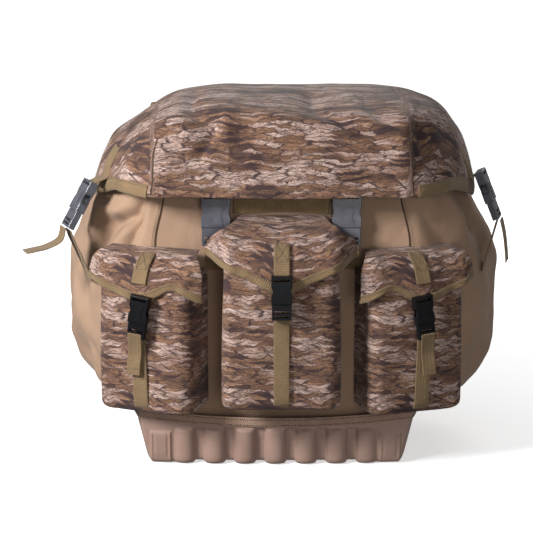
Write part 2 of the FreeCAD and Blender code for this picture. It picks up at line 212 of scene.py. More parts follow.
# ---- mesh makers ----------------------------------------------------------------------------
def piece(name, rows, material, body, nodes=(), closed=False, thick=0.0, uv=None, sub=1,
          flip=False):
    """A grid of points (mm) as a cloth, webbing or moulded piece with a UV map in metres."""
    high, wide = len(rows), len(rows[0])
    verts = [Vector(p) * MM for row in rows for p in row]
    steps = wide if closed else wide - 1
    faces, corners = [], []
    for i in range(high - 1):
        for j in range(steps):
            cell = [(i, j), (i, j + 1), (i + 1, j + 1), (i + 1, j)]
            if flip:
                cell.reverse()
            faces.append([r * wide + c % wide for r, c in cell])
            corners += cell
    mesh = bpy.data.meshes.new(name)
    mesh.from_pydata(verts, [], faces)
    layer = mesh.uv_layers.new(name="cloth")
    table = uv or cloth_uv(rows, closed)
    for k, (r, c) in enumerate(corners):
        layer.data[k].uv = table[r][c if c < len(table[r]) else c % wide]
    mesh.polygons.foreach_set("use_smooth", [True] * len(mesh.polygons))
    label = name + "_cover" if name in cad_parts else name
    obj = bpy.data.objects.new(label, mesh)
    bpy.context.scene.collection.objects.link(obj)
    if thick:
        solid = obj.modifiers.new("thickness", "SOLIDIFY")
        solid.thickness = thick * MM
        solid.offset = -1
    if sub:
        level = obj.modifiers.new("smooth", "SUBSURF")
        level.levels = level.render_levels = sub
    return settle(obj, material, body, nodes)


def settle(obj, material, body, nodes=()):
    obj.data.materials.append(material)
    if body:
        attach(obj, body)
    if nodes:
        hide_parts(*nodes)
    return obj


def cloth_uv(rows, closed=False):
    """Distances along and across the grid, in metres."""
    table, climb = [], 0.0
    for i, row in enumerate(rows):
        ring = list(row) + ([row[0]] if closed else [])
        line, reach = [], 0.0
        for j, p in enumerate(ring):
            if j:
                reach += (Vector(p) - Vector(ring[j - 1])).length
            line.append(reach)
        if i:
            steps = [(Vector(a) - Vector(b)).length for a, b in zip(row, rows[i - 1])]
            climb += sum(steps) / len(steps)
        table.append([((u - reach / 2) * MM, climb * MM) for u in line])
    return table


def turned_uv(rows, closed=False):
    """The same for tape, whose length runs along the grid's rows."""
    return [[(v, -u) for u, v in line] for line in cloth_uv(rows, closed)]


def ribbon(name, path, across, width, material, body, nodes=(), thick=1.7, lift=0.0, crown=0.35):
    """Webbing along a path; across gives its width direction at each point."""
    rows = []
    for i, p in enumerate(path):
        ahead = path[min(i + 1, len(path) - 1)] - path[max(i - 1, 0)]
        side = across[i] - ahead * (across[i].dot(ahead) / ahead.length_squared)
        side.normalize()
        up = side.cross(ahead).normalized()
        row = []
        for k in (-1.0, -0.9, -0.45, 0.0, 0.45, 0.9, 1.0):
            row.append(p + side * (k * width / 2) + up * (lift + crown * (1 - k * k)))
        rows.append(row)
    return piece(name, rows, material, body, nodes, thick=thick, sub=1)


def stitches(name, path, normals, pitch, body, size=THREAD_SIZE):
    """One row of thread: short beads laid along a path (mm)."""
    total = sum((b - a).length for a, b in zip(path, path[1:]))
    count = max(2, int(total / pitch))
    spots, fine = resample(path, 2 * count + 1), resample(normals, 2 * count + 1)
    verts, faces = [], []
    for k in range(count):
        centre, up = spots[2 * k + 1], fine[2 * k + 1].normalized()
        ahead = (spots[2 * k + 2] - spots[2 * k]).normalized()
        side = ahead.cross(up).normalized()
        long = pitch * (1 - STITCH_GAP) / 2
        base = len(verts)
        for along, round_ in ((-1.0, 0.35), (-0.6, 1.0), (0.6, 1.0), (1.0, 0.35)):
            for turn in range(6):
                angle = turn * math.pi / 3
                verts.append((centre + up * STITCH_LIFT + ahead * (long * along)
                              + side * (math.cos(angle) * size[0] * round_)
                              + up * (math.sin(angle) * size[1] * round_)) * MM)
        for ring in range(3):
            for turn in range(6):
                a = base + ring * 6 + turn
                b = base + ring * 6 + (turn + 1) % 6
                faces.append((a, b, b + 6, a + 6))
        faces.append([base + turn for turn in reversed(range(6))])
        faces.append([base + 18 + turn for turn in range(6)])
    mesh = bpy.data.meshes.new(name)
    mesh.from_pydata(verts, [], faces)
    mesh.polygons.foreach_set("use_smooth", [True] * len(mesh.polygons))
    obj = bpy.data.objects.new(name, mesh)
    bpy.context.scene.collection.objects.link(obj)
    return settle(obj, THREAD, body)


# ---- material nodes -------------------------------------------------------------------------
def new_material(name, roughness, **shader):
    mat = bpy.data.materials.new(name)
    mat.use_nodes = True
    tree = mat.node_tree
    bsdf = tree.nodes["Principled BSDF"]
    bsdf.inputs["Roughness"].default_value = roughness
    for key, value in shader.items():
        bsdf.inputs[key.replace("_", " ")].default_value = value
    return mat, tree, bsdf


def add(tree, kind, inputs=None, **props):
    made = tree.nodes.new("ShaderNode" + kind)
    for key, value in props.items():
        setattr(made, key, value)
    for key, value in (inputs or {}).items():
        if isinstance(value, bpy.types.NodeSocket):
            tree.links.new(value, made.inputs[key])
        else:
            made.inputs[key].default_value = value
    return made


def maths(tree, op, a, b=0.0, c=0.0):
    return add(tree, "Math", {0: a, 1: b, 2: c}, operation=op).outputs[0]


def noise_at(tree, where, scale, detail=3.0, rough=0.55, distortion=0.0):
    return add(tree, "TexNoise", {"Vector": where, "Scale": scale, "Detail": detail,
                                  "Roughness": rough, "Distortion": distortion}).outputs["Fac"]


def ramp(tree, value, stops):
    made = add(tree, "ValToRGB", {"Fac": value})
    points = made.color_ramp.elements
    while len(points) < len(stops):
        points.new(0.5)
    for point, (place, colour) in zip(points, stops):
        point.position = place
        point.color = colour if len(colour) == 4 else (*colour, 1.0)
    return made.outputs["Color"]


def grey(tree, value, low, high, dark=0.0, light=1.0):
    return ramp(tree, value, [(low, (dark,) * 3), (high, (light,) * 3)])


def mottled(tree, where, scale, detail, dark, light, low=0.3, high=0.7):
    """Slow drift between two colours."""
    tone = grey(tree, noise_at(tree, where, scale, detail), low, high)
    return blend_colour(tree, tone, dark, light)


def blend_colour(tree, factor, a, b, mode="MIX"):
    made = add(tree, "Mix", data_type="RGBA", blend_type=mode)
    for socket, value in ((made.inputs[0], factor), (made.inputs[6], a), (made.inputs[7], b)):
        if isinstance(value, bpy.types.NodeSocket):
            tree.links.new(value, socket)
        else:
            socket.default_value = value if isinstance(value, float) else (*value, 1.0)
    return made.outputs[2]


def bump(tree, bsdf, height, strength, distance, under=None):
    inputs = {"Height": height, "Strength": strength, "Distance": distance}
    made = add(tree, "Bump", inputs)
    if under is not None:
        tree.links.new(under, made.inputs["Normal"])
    tree.links.new(made.outputs["Normal"], bsdf.inputs["Normal"])
    return made.outputs["Normal"]


def cloth_coords(tree):
    return add(tree, "UVMap", uv_map="cloth").outputs["UV"]


def solid_coords(tree):
    return add(tree, "TexCoord").outputs["Object"]


def stretched(tree, where, scale):
    return add(tree, "Mapping", {"Vector": where, "Scale": scale}).outputs["Vector"]


def thread_bump(tree, where, pitch):
    """Plain weave: threads over and under at a pitch in metres."""
    parts = add(tree, "SeparateXYZ", {"Vector": where})
    u = maths(tree, "SINE", maths(tree, "MULTIPLY", parts.outputs[0], 2 * math.pi / pitch))
    v = maths(tree, "SINE", maths(tree, "MULTIPLY", parts.outputs[1], 2 * math.pi / pitch))
    return maths(tree, "MULTIPLY", u, v)


def camo_material():
    """Bark print: wavy strips with dark outlines, drifting between pale and brown."""
    mat, tree, bsdf = new_material("bark_print_cloth", 0.86, Sheen_Weight=0.10,
                                   Specular_IOR_Level=0.25)
    uv = cloth_coords(tree)
    where = uv
    for scale, amount in ((18.0, 0.022), (80.0, 0.0062), (320.0, 0.0024)):
        wander = add(tree, "TexNoise", {"Vector": uv, "Scale": scale, "Detail": 2.0})
        push = add(tree, "VectorMath", {0: wander.outputs["Color"], 1: (0.5, 0.5, 0.5)},
                   operation="SUBTRACT").outputs[0]
        push = add(tree, "VectorMath", {0: push, "Scale": amount}, operation="SCALE").outputs[0]
        where = add(tree, "VectorMath", {0: where, 1: push}).outputs[0]
    cells = stretched(tree, where, (33, 200, 1))
    strips = add(tree, "TexVoronoi", {"Vector": cells, "Scale": 1.0}, voronoi_dimensions="2D")
    chance = add(tree, "SeparateColor", {"Color": strips.outputs["Color"]}).outputs[0]
    rim = add(tree, "TexVoronoi", {"Vector": cells, "Scale": 1.0}, voronoi_dimensions="2D",
              feature="DISTANCE_TO_EDGE").outputs["Distance"]
    drift = noise_at(tree, stretched(tree, uv, (10, 24, 1)), 1.0, 2.0)
    drift = maths(tree, "MULTIPLY_ADD", drift, 3.0, -1.25)
    pick = maths(tree, "MULTIPLY_ADD", chance, 0.50, maths(tree, "MULTIPLY", drift, 0.62))
    base = ramp(tree, pick, [(0.07, (0.050, 0.029, 0.030)), (0.16, (0.140, 0.076, 0.052)),
                             (0.31, (0.235, 0.126, 0.074)), (0.42, (0.300, 0.168, 0.104)),
                             (0.48, (0.365, 0.235, 0.184)), (0.56, (0.480, 0.338, 0.286)),
                             (0.82, (0.560, 0.408, 0.350))])
    streak = noise_at(tree, stretched(tree, where, (70, 520, 1)), 1.0, 3.0, 0.6)
    base = blend_colour(tree, 1.0, base, grey(tree, streak, 0.30, 0.70, 0.62, 1.20), "MULTIPLY")
    worn = grey(tree, noise_at(tree, uv, 62.0, 3.0), 0.36, 0.56, 0.35, 1.0)
    outline = maths(tree, "MULTIPLY", grey(tree, rim, 0.035, 0.12, 0.97, 0.0), worn)
    base = blend_colour(tree, outline, base, (0.042, 0.024, 0.028))
    scribble = noise_at(tree, stretched(tree, where, (75, 210, 1)), 1.0, 3.0, 0.6, 1.2)
    mark = maths(tree, "ABSOLUTE", maths(tree, "SUBTRACT", scribble, 0.5))
    base = blend_colour(tree, grey(tree, mark, 0.008, 0.055, 0.82, 0.0), base,
                        (0.070, 0.038, 0.032))
    tree.links.new(base, bsdf.inputs["Base Color"])
    soft = bump(tree, bsdf, noise_at(tree, uv, 75.0, 4.0), 0.45, 0.0016)
    bump(tree, bsdf, thread_bump(tree, uv, 0.0011), 0.25, 0.0003, soft)
    return mat


def canvas_material(name, dark, light):
    mat, tree, bsdf = new_material(name, 0.88, Sheen_Weight=0.10, Specular_IOR_Level=0.25)
    uv = cloth_coords(tree)
    base = mottled(tree, uv, 7.0, 4.0, dark, light, 0.32)
    grain = noise_at(tree, stretched(tree, uv, (900, 1500, 1)), 1.0, 2.0)
    flecks = grey(tree, grain, 0.3, 0.7, 0.90, 1.08)
    base = blend_colour(tree, 1.0, base, flecks, "MULTIPLY")
    tree.links.new(base, bsdf.inputs["Base Color"])
    rub = noise_at(tree, stretched(tree, uv, (26, 14, 1)), 1.0, 5.0, 0.6, 0.4)
    soft = bump(tree, bsdf, rub, 0.45, 0.005)
    fine = bump(tree, bsdf, noise_at(tree, uv, 120.0, 3.0), 0.22, 0.0008, soft)
    bump(tree, bsdf, thread_bump(tree, uv, 0.0010), 0.30, 0.0003, fine)
    return mat


def webbing_material(name, dark, light):
    """Herringbone weave: slanting ribs that turn back every few yarns."""
    mat, tree, bsdf = new_material(name, 0.74, Sheen_Weight=0.15,
                                   Specular_IOR_Level=0.35)
    parts = add(tree, "SeparateXYZ", {"Vector": cloth_coords(tree)})
    u, v = parts.outputs[0], parts.outputs[1]
    zigzag = maths(tree, "PINGPONG", u, 0.0025)
    slope = maths(tree, "ADD", v, maths(tree, "MULTIPLY", zigzag, 1.0))
    rib = maths(tree, "SINE", maths(tree, "MULTIPLY", slope, 2 * math.pi / 0.0030))
    yarn = maths(tree, "SINE", maths(tree, "MULTIPLY", u, 2 * math.pi / 0.0006))
    base = mottled(tree, cloth_coords(tree), 38.0, 3.0, dark, light)
    # the colour follows the rib bump: painted shade in the grooves between ribs and painted
    # highlight on their crowns
    lines = grey(tree, maths(tree, "MULTIPLY_ADD", rib, 0.5, 0.5), 0.1, 0.8, 0.50, 1.12)
    base = blend_colour(tree, 1.0, base, lines, "MULTIPLY")
    tree.links.new(base, bsdf.inputs["Base Color"])
    first = bump(tree, bsdf, rib, 0.55, 0.0005)
    bump(tree, bsdf, yarn, 0.15, 0.0002, first)
    return mat


def foam_material():
    mat, tree, bsdf = new_material("moulded_foam", 0.50, Sheen_Weight=0.08,
                                   Specular_IOR_Level=0.42, Coat_Weight=0.06,
                                   Coat_Roughness=0.45)
    where = solid_coords(tree)
    base = mottled(tree, where, 9.0, 4.0, (0.300, 0.190, 0.150), (0.385, 0.252, 0.203), 0.3, 0.72)
    scuff = noise_at(tree, stretched(tree, where, (40, 40, 12)), 1.0, 6.0, 0.7)
    base = blend_colour(tree, grey(tree, scuff, 0.62, 0.74, 0.0, 0.35), base,
                        (0.47, 0.34, 0.29))
    tree.links.new(base, bsdf.inputs["Base Color"])
    rough = grey(tree, noise_at(tree, where, 22.0, 4.0), 0.3, 0.7, 0.44, 0.60)
    tree.links.new(rough, bsdf.inputs["Roughness"])
    skin = bump(tree, bsdf, noise_at(tree, where, 420.0, 3.0), 0.30, 0.0005)
    bump(tree, bsdf, noise_at(tree, where, 30.0, 2.0), 0.12, 0.002, skin)
    return mat


def plastic_material(name, dark, light, roughness, gloss, coat):
    mat, tree, bsdf = new_material(name, roughness, Specular_IOR_Level=gloss, Coat_Weight=coat,
                                   Coat_Roughness=0.2)
    where = solid_coords(tree)
    base = mottled(tree, where, 60.0, 4.0, dark, light)
    tree.links.new(base, bsdf.inputs["Base Color"])
    haze = grey(tree, noise_at(tree, where, 35.0, 5.0), 0.3, 0.7, roughness - 0.06,
                roughness + 0.08)
    tree.links.new(haze, bsdf.inputs["Roughness"])
    bump(tree, bsdf, noise_at(tree, where, 900.0, 2.0), 0.10, 0.0002)
    return mat


def mesh_pad_material():
    mat, tree, bsdf = new_material("spacer_mesh", 0.92, Sheen_Weight=0.2,
                                   Specular_IOR_Level=0.2)
    where = solid_coords(tree)
    cells = add(tree, "TexVoronoi", {"Vector": where, "Scale": 330.0}, feature="F1",
                distance="EUCLIDEAN").outputs["Distance"]
    holes = grey(tree, cells, 0.18, 0.42)
    tone = blend_colour(tree, holes, (0.018, 0.014, 0.010), (0.110, 0.082, 0.052))
    tree.links.new(tone, bsdf.inputs["Base Color"])
    first = bump(tree, bsdf, holes, 0.6, 0.0012)
    bump(tree, bsdf, noise_at(tree, where, 45.0, 3.0), 0.25, 0.003, first)
    return mat


def thread_material():
    mat, tree, bsdf = new_material("thread", 0.6, Sheen_Weight=0.3)
    where = solid_coords(tree)
    base = mottled(tree, where, 500.0, 2.0, (0.10, 0.062, 0.030), (0.20, 0.130, 0.066))
    tree.links.new(base, bsdf.inputs["Base Color"])
    bump(tree, bsdf, noise_at(tree, where, 2500.0, 1.0), 0.4, 0.0002)
    return mat


# Dark strips laid along the front seams and the lid darts: painted shade in the seams' creases.
def seam_shade_material():
    mat, tree, bsdf = new_material("shadowed_seam", 0.9, Specular_IOR_Level=0.2)
    where = solid_coords(tree)
    base = mottled(tree, where, 200.0, 2.0, (0.050, 0.032, 0.020), (0.085, 0.055, 0.034))
    tree.links.new(base, bsdf.inputs["Base Color"])
    bump(tree, bsdf, noise_at(tree, where, 700.0, 2.0), 0.3, 0.0003)
    return mat


CAMO = camo_material()
CANVAS = canvas_material("tan_canvas", (0.318, 0.203, 0.134), (0.395, 0.258, 0.174))
WEBBING = webbing_material("herringbone_webbing", (0.215, 0.138, 0.066), (0.300, 0.198, 0.100))
RIM_TAPE = webbing_material("rim_tape", (0.400, 0.252, 0.180), (0.500, 0.325, 0.240))
FOAM = foam_material()
BLACK = plastic_material("black_acetal", (0.003, 0.003, 0.004), (0.006, 0.006, 0.008), 0.40, 0.22,
                         0.02)
GREY = plastic_material("dark_grey_acetal", (0.060, 0.060, 0.074), (0.105, 0.105, 0.128), 0.28,
                        0.5, 0.3)
PAD = mesh_pad_material()
THREAD = thread_material()
SEAM_SHADE = seam_shade_material()
UP = Vector((0, 0, 1))


# ---- moulded tub ----------------------------------------------------------------------------
def rim_height(x):
    return 65 + 22 * (x / 260) ** 2


def tub_outline(s, z, grow):
    t = z / 110.0
    half, front, back = (mix(a, b, t) for a, b in zip(TUB_FLOOR, TUB_RIM))
    flat = half - TUB_CORNER
    x, y = plan(s, half + grow, front - grow, back + grow, 0, flat, flat, TUB_BOW)
    return x + TUB_SHIFT, y


def rib_relief(x, y, z):
    """Ribs stand proud of the front wall, with flat grooves sunk between them."""
    if y > -95:
        return 0.0
    x -= TUB_SHIFT
    if abs(x) < 3.5 * RIB_PITCH - 4:
        off = abs((x + RIB_PITCH / 2) % RIB_PITCH - RIB_PITCH / 2)
        rib = max(0.0, 1 - (off / 14.2) ** 2) ** 0.5
        edge = ease((3.5 * RIB_PITCH - 4 - abs(x)) / 8.0)
        sunk = mix(0.0, mix(-GROOVE, RIB_PROUD, rib), edge)
        return sunk * ease((RIB_TOP + 2.5 - z) / 4.5)
    inner = min(abs(x) - 137.5, 166 - abs(x), z - 6, RIB_TOP - 3 - z)
    return 2.4 * ease(inner / 2.0) - 1.3 * ease((inner - 2.6) / 1.2) * ease((7.2 - inner) / 1.6)


def tub_point(s, z, grow=0.0):
    x, y = tub_outline(s, z, grow)
    relief = rib_relief(x, y, max(z, 7.0))
    fade = max(0.0, 1 + grow / 40.0)
    lift = max(0.0, -relief) * 0.40 * ease((9 - z) / 9.0)
    return Vector((x, y - relief * fade, z + lift * fade))


def make_tub():
    ring = columns(12, 8, 18, 190)
    rows = []
    for z, grow in ((0, -165), (0, -110), (0, -50), (0, -20), (0, -9), (1.0, -4.5), (3.2, -1.6),
                    (6.5, -0.3)):
        rows.append([tub_point(s, z, grow) for s in ring])
    rows += [[tub_point(s, z) for s in ring] for z in (10, 15, 21, 27, 33, 39, 43, 45.5, 47.5,
                                                       49.5, 51.5, 54)]
    for drop, grow in ((4.0, 0.0), (1.5, 0.0), (0.3, -0.8), (0.3, -4.0), (2.0, -5.0), (30, -5.0)):
        row = []
        for s in ring:
            x, y = tub_outline(s, RIM_LEVEL, grow)
            row.append(Vector((x, y, rim_height(x) - drop)))
        rows.append(row)
    for z, grow in ((12, -14), (6, -18), (5, -60), (5, -120), (5, -165)):
        rows.append([Vector((*tub_outline(s, z, grow), z)) for s in ring])
    piece("moulded_tub", rows, FOAM, "pack", ["eva_base"], closed=True)


def make_rim_band():
    ring = columns(14, 8, 16, 60)
    rows = []
    for up in (0.0, 0.5, 3.5, 6.5, 9.5, 12.0, 12.6):
        row = []
        for s in ring:
            x, y = tub_outline(s, RIM_LEVEL, 2.0 + 0.5 * math.sin(math.pi * up / 12.6))
            row.append(Vector((x, y, rim_height(x) - BAND_DROP + up)))
        rows.append(row)
    piece("rim_band", rows, RIM_TAPE, "pack", ["base_rim_band"], closed=True, thick=1.6,
          uv=turned_uv(rows, True))
    around = [1.6 + 4.8 * k / 240 for k in range(241)]
    for tag, up in (("low", 2.4), ("high", 9.8)):
        line, out = [], []
        for s in around:
            x, y = tub_outline(s, RIM_LEVEL, 2.8)
            line.append(Vector((x, y, rim_height(x) - BAND_DROP + up)))
            out.append(Vector((x * 0.3, y, 0)) if abs(y) > 100 else Vector((x, 0, 0)))
        stitches("rim_stitch_" + tag, line, out, 4.0, "pack")


# ---- bag ------------------------------------------------------------------------------------
# folds in the front view: a line from x, z to x, z, then depth and width
LEFT_FOLDS = [(-178, 356, -199, 328, 9, 8), (-199, 328, -229, 312, 12, 9),
              (-229, 312, -250, 276, 12, 11), (-182, 338, -190, 318, 9, 6),
              (-190, 318, -203, 285, 9, 7), (-232, 352, -236, 330, -7, 8),
              (-236, 330, -254, 296, -8, 9), (-213, 338, -222, 326, -7, 7),
              (-205, 312, -226, 282, -5, 9), (-272, 250, -262, 180, 6, 13),
              (-284, 150, -262, 92, 8, 11), (-255, 140, -236, 88, 7, 9),
              (-240, 220, -262, 150, 4, 14)]
RIGHT_FOLDS = [(232, 356, 258, 300, 15, 8), (258, 300, 284, 250, 11, 10),
               (214, 350, 232, 300, -6, 11), (254, 344, 276, 296, -9, 8),
               (186, 330, 226, 262, 5, 14), (226, 262, 262, 190, 4, 14),
               (285, 230, 280, 150, 6, 12), (274, 150, 250, 92, 8, 11),
               (246, 130, 226, 88, 7, 9)]


def bag_point(s, z, grow=0.0, folds=True):
    half, front = at_height(BAG, z)
    inset = half - BACK_INSET
    x, y = plan(s, half, front, BAG_BACK, BAG_WIDE, FRONT_HALF, inset)
    xa, ya = plan(s + 0.01, half, front, BAG_BACK, BAG_WIDE, FRONT_HALF, inset)
    xb, yb = plan(s - 0.01, half, front, BAG_BACK, BAG_WIDE, FRONT_HALF, inset)
    out = Vector((ya - yb, -(xa - xb), 0)).normalized()
    move = grow
    if folds:
        flank = ease((abs(x) - 166) / 20.0) * ease((118 - y) / 20.0)
        lines = LEFT_FOLDS if x < 0 else RIGHT_FOLDS
        move -= 1.5 * flank * crease(x, z, lines) * ease((40 - y) / 60.0)
        move += (1.2 + 3.8 * flank) * ripple((x, y * 0.8, z * 0.45), 58.0, 3.1)
        move += (0.8 + 2.0 * flank) * ripple((x, y, z), 24.0, 7.7)
        move += 6.0 * ease((abs(x) - 200) / 70.0)
        sag = ease((y + 100) / 90.0) * ease((120 - y) / 50.0) * ease((z - 60) / 40.0)
        slant = (z + 0.7 * y) / 21.0 + 1.6 * ripple((x, y, z), 80.0, 2.4)
        move += 2.6 * sag * math.sin(slant) * ease((400 - z) / 60.0)
        if abs(x) < FRONT_HALF and y < 0:
            move += 2.0 * math.cos(math.pi * x / 330) + 2.2 * math.exp(-((z - 338) / 9.0) ** 2)
    return Vector((x + 5 * (x / 292.0) ** 2, y, z)) + out * move


def make_bag():
    ring = columns(14, 7, 52, 34)
    rows = []
    for z, pull in ((57, 0.62), (55, 0.80), (54.4, 0.92)):
        row = []
        for s in ring:
            p = bag_point(s, 54)
            row.append(Vector((p.x * pull, p.y * mix(pull, 1, 0.4), z)))
        rows.append(row)
    heights = [54, 57, 61, 65] + [70 + 5.1 * k for k in range(71)]
    rows += [[bag_point(s, z) for s in ring] for z in heights]
    piece("bag_shell", rows, CANVAS, "pack",
          ["front_panel", "left_gusset", "right_gusset", "back_panel"], closed=True, thick=3.0)
    for side, name in ((-1, "left"), (1, "right")):
        seam, out = [], []
        for k in range(90):
            z = 70 + 356 * k / 89.0
            reach = 152 + 13 * ease((369 - z) / 75.0)
            seam.append(bag_point(4 + side * reach / FRONT_HALF, z, 0.5))
            out.append(Vector((0, -1, 0)))
        across = [Vector((1, 0, 0))] * len(seam)
        # a dark strip of painted shade along the front seam
        ribbon(name + "_front_seam_shade", seam, across, 2.2, SEAM_SHADE, "pack", thick=0.8, lift=0.3)
        beside = [p + Vector((side * 4.0, -0.35, 0)) for p in seam]
        stitches(name + "_front_stitch", beside, out, 3.4, "pack", size=HEM_THREAD)
    make_bag_trim()


def make_bag_trim():
    for side, name in ((-1, "left"), (1, "right")):
        path, across = [], []
        for k in range(70):
            z = 66 + 354 * k / 69.0
            path.append(bag_point(4 + side * 2.55, z, 1.6, folds=False))
            across.append(Vector((side * 0.4, 1, 0)))
        ribbon(name + "_back_piping", path, across, 11, WEBBING, "pack",
               ["back_piping"] if side < 0 else [], thick=2.2, lift=0.2, crown=1.4)
    ring = columns(14, 7, 24, 24)
    rows = []
    for grow, z in ((0.8, 422), (1.2, 428), (0.6, 432.4), (-2.0, 433.2), (-4.4, 432.2),
                    (-4.9, 428), (-4.6, 422)):
        rows.append([bag_point(s, min(z, 427), grow, folds=False) + UP * max(0.0, z - 427)
                     for s in ring])
    piece("mouth_binding", rows, WEBBING, "pack", ["mouth_binding"], closed=True,
          thick=0.8, uv=turned_uv(rows, True))
    path = [Vector((mix(-62, 62, k / 30.0), -127.4, 356 - 1.5 * math.cos(k / 4.8)))
            for k in range(31)]
    ribbon("front_band", path, [UP] * 31, 36, WEBBING, "pack", ["front_band"], thick=1.6,
           lift=0.0)


# ---- lid ------------------------------------------------------------------------------------
LID_FOLDS = [(-128, 472, -90, 448, 8, 8), (-90, 448, -108, 412, 7, 9), (-70, 462, -66, 430, -4, 9),
             (-150, 440, -128, 414, 5, 8), (-60, 470, 20, 458, -3.2, 10),
             (20, 476, 78, 458, 5, 7), (78, 458, 128, 438, 5, 8), (60, 442, 110, 424, -3, 8),
             (-30, 430, 40, 418, -2.6, 14), (110, 470, 160, 450, 5, 8),
             (-120, 392, -10, 384, 2.2, 9), (20, 390, 130, 398, -2.2, 10),
             (-200, 440, -236, 384, 6, 8), (-178, 424, -203, 376, -5, 8),
             (-228, 412, -246, 372, -4, 7), (176, 452, 196, 392, 8, 8),
             (200, 462, 232, 400, -5, 9), (222, 440, 254, 384, 6, 9), (168, 446, 176, 400, 5, 7)]


def lid_point(s, level, grow=0.0):
    """level 0 is the hem and 1 the crown."""
    probe_y = lid_outline(s, 380)[1]
    hem = soft_line(LID_HEM, probe_y, 9) if abs(s - 4) > 0.9 else 361.5 + 4 * abs(s - 4) ** 2
    if level < LID_SKIRT:
        z = mix(hem, 445, level / LID_SKIRT)
        x, y = lid_outline(s, z)
    else:
        t = (level - LID_SKIRT) / (1 - LID_SKIRT) * 6.0
        i = min(5, int(t))
        keys = [LID[min(3 + i + k, len(LID) - 1)] for k in (-1, 0, 1, 2)]
        z, left, right, front, back = (catmull(*[key[n] for key in keys], t - i)
                                       for n in range(5))
        half = left if s <= 4 else right
        flat = min(LID_FRONT_HALF, max(half - 30, half * 0.7))
        x, y = plan(s, half, front, back, mix(LID_WIDE, 35, ease(t / 5)), flat,
                    max(half - 40, half * 0.6))
    centre = Vector((0, -20, 330))
    out = (Vector((x, y, z)) - centre).normalized()
    move = grow - 1.45 * crease(x, z - 0.10 * (y + 160), LID_FOLDS) * ease((60 - y) / 120.0)
    move += 2.4 * ripple((x, y, z), 70.0, 1.7) + 1.1 * ripple((x, y, z), 30.0, 5.2)
    move += 2.4 * math.exp(-((level - 0.02) / 0.05) ** 2) * (1 if y < -120 else 0)
    p = Vector((x, y, z)) + out * move
    p.z += 4.5 * ease((-30 - x) / 60.0) * ease((z - 425) / 30.0) * ease((60 - y) / 60.0)
    if y > 100:
        p.y = min(p.y, 126)
    return p


def lid_outline(s, z):
    left, right, front, back = at_height(LID, z)
    half = left if s <= 4 else right
    return plan(s, half, front, back, LID_WIDE, min(LID_FRONT_HALF, half - 30), half - 40)


def lid_cloth_place(p):
    """Print coordinates: level strips on the middle panel, steep ones on the side panels."""
    if abs(p.x) < 163:
        down = p.z - 481 if p.y < 60 else 481 - p.z
        return (p.x * MM, (481 + max(0.0, p.y + 150) + down) * MM)
    fall = (abs(p.x) - 163) + (481 - p.z)
    a = math.radians(58 if p.x > 0 else 52)
    return ((p.y * math.cos(a) + fall * math.sin(a) + 700) * MM,
            (fall * math.cos(a) - p.y * math.sin(a)) * MM)


def make_lid():
    ring = columns(14, 7, 44, 40)
    levels = [0.0, 0.012] + [LID_SKIRT * k / 22.0 for k in range(1, 23)]
    levels += [LID_SKIRT + (1 - LID_SKIRT) * k / 30.0 for k in range(1, 31)]
    rows = [[lid_point(s, level) for s in ring] for level in levels]
    uv = [[lid_cloth_place(p) for p in row + row[:1]] for row in rows]
    piece("lid_shell", rows, CAMO, "lid", ["lid_shell"], closed=True, thick=3.5,
          uv=uv)
    for side, name in ((-1, "left"), (1, "right")):
        tape = [4 + side * (1.12 + 1.9 * k / 70.0) for k in range(71)]
        rows = []
        for level, grow in ((0.085, 0.9), (0.06, 1.4), (0.03, 1.5), (0.0, 1.2), (-0.012, -1.6),
                            (0.0, -4.6), (0.05, -4.9)):
            rows.append([lid_point(s, level, grow) for s in tape])
        piece(name + "_lid_binding", rows, WEBBING, "lid",
              ["lid_binding"] if side < 0 else [], thick=0.9, flip=side > 0,
              uv=turned_uv(rows))
        edge = [lid_point(s, 0.072, 1.7) for s in tape]
        out = [Vector((p.x, p.y * 0.6, 0)) for p in edge]
        stitches(name + "_lid_binding_stitch", edge, out, 3.2, "lid", size=HEM_THREAD)
        dart = [lid_point(4 + side * 1.09, 0.02 + 0.36 * k / 40.0, 0.2) for k in range(41)]
        # a dark strip of painted shade along the lid dart
        ribbon(name + "_lid_dart_shade", dart, [Vector((1, side * 0.6, 0))] * 41, 1.8, SEAM_SHADE, "lid",
               thick=0.8, lift=0.0)
    rows = []
    for y, z in ((131.6, 410), (131.8, 420), (131.6, 430), (130.4, 438), (128.6, 445),
                 (127.2, 452)):
        rows.append([Vector((mix(-184, 184, k / 40.0), y + 0.5 * math.sin(k * 1.7), z))
                     for k in range(41)])
    strip = piece("lid_hinge_strip", rows, WEBBING, "", thick=1.6, flip=True,
                  uv=turned_uv(rows))
    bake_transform(strip)
    hem = [lid_point(3.06 + 1.88 * k / 160.0, 0.055, 0.5) for k in range(161)]
    stitches("lid_hem_stitch", hem, [Vector((0, -1, 0))] * 161, 3.2, "lid", size=HEM_THREAD)


# ---- pockets --------------------------------------------------------------------------------
def local(spec, x, y, z):
    """From a pocket's own frame to the pack's."""
    a = math.radians(spec["turn"])
    return Vector((spec["at"][0] + x * math.cos(a) - y * math.sin(a),
                   spec["at"][1] + x * math.sin(a) + y * math.cos(a), z))


def turned(spec, v):
    a = math.radians(spec["turn"])
    return Vector((v[0] * math.cos(a) - v[1] * math.sin(a),
                   v[0] * math.sin(a) + v[1] * math.cos(a), v[2]))


